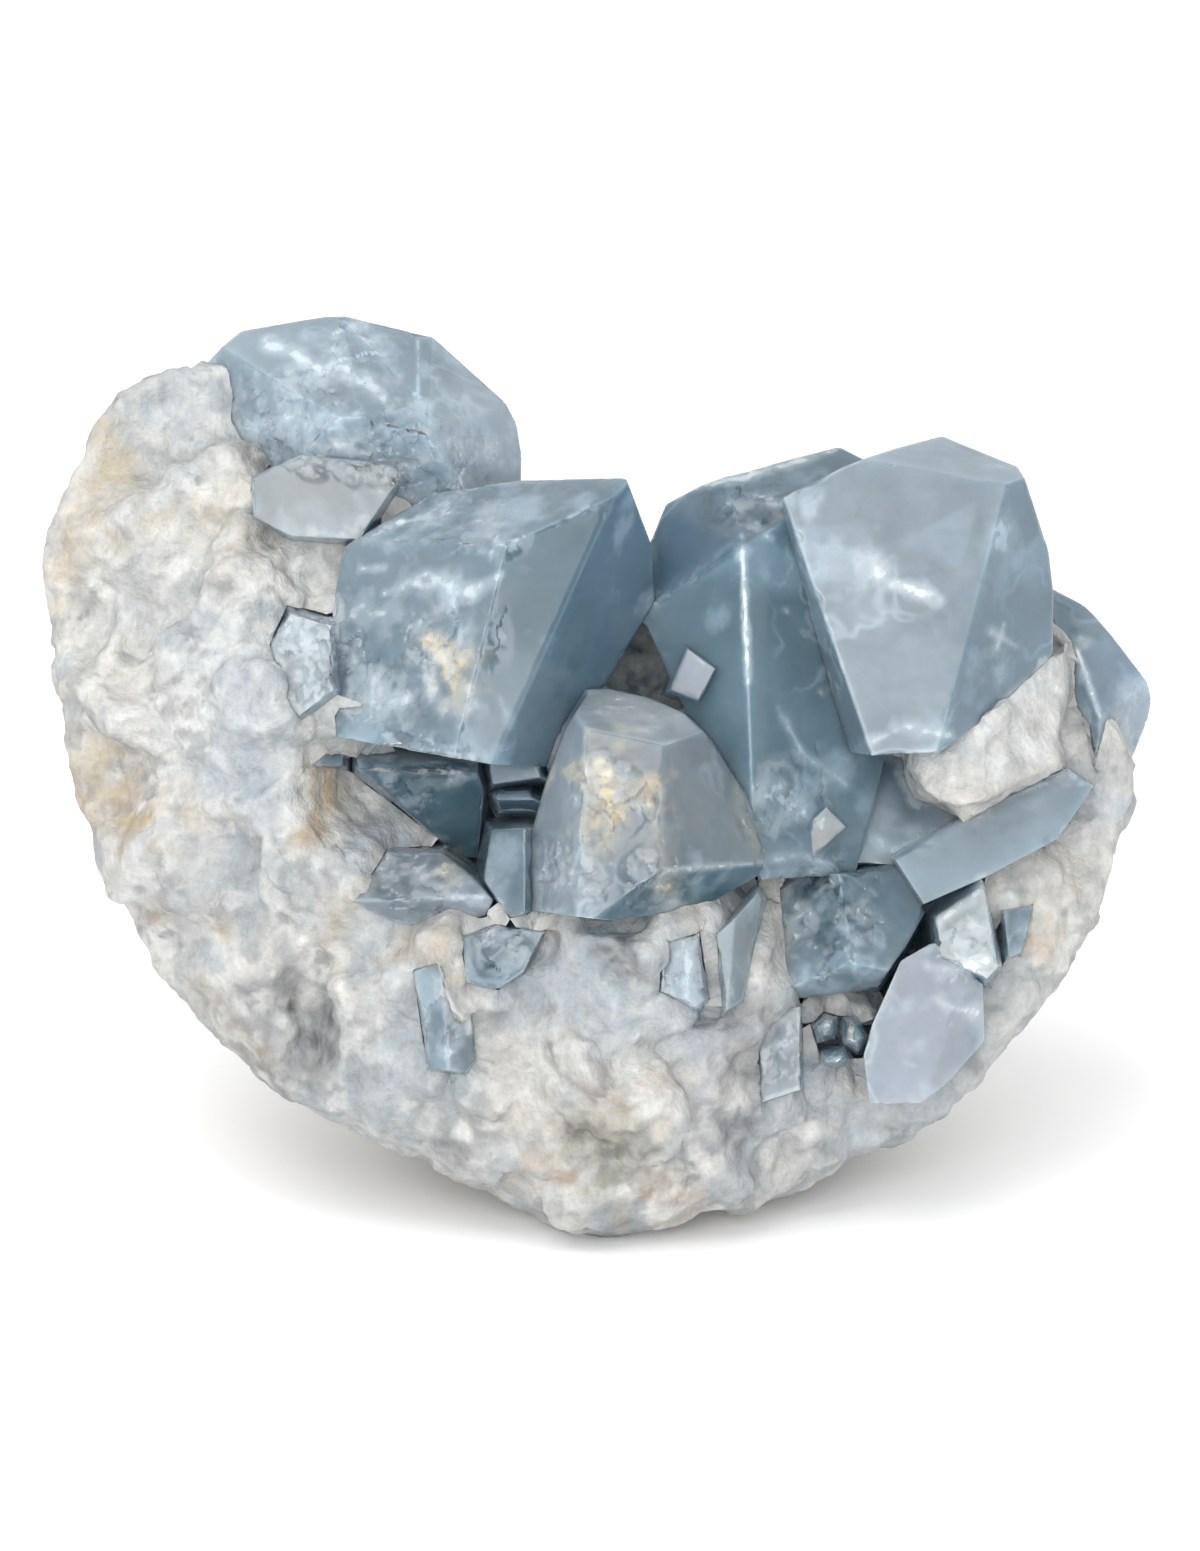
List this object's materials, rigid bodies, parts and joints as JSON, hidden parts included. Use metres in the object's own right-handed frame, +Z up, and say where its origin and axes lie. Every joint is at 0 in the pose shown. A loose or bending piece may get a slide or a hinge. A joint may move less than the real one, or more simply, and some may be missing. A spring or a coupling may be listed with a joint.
{
  "type": "rough mineral specimen",
  "caption": "Rough celestite: clustered flat-faced blue crystals rooted in a pale broken nodule wall with a rounded rind, standing on a small flat spot.",
  "frame": {"origin": "centre of the small flat spot that the specimen rests on", "axes": "+Z up, +X to the right along the longest side, +Y away from the crystals' front"},
  "size_m": [0.1008, 0.0634, 0.0774],
  "materials": {
    "pale_rock": "broken, granular, with grey and beige stains",
    "blue_crystal": "translucent blue-grey crystal with smooth flat faces"
  },
  "bodies": {
    "root": {"matrix": "pale_rock", "upper_left_crystals": "blue_crystal", "right_crystals": "blue_crystal", "front_crystals": "blue_crystal", "pocket_crystals": "blue_crystal", "lower_right_crystals": "blue_crystal"}
  },
  "joints": []
}
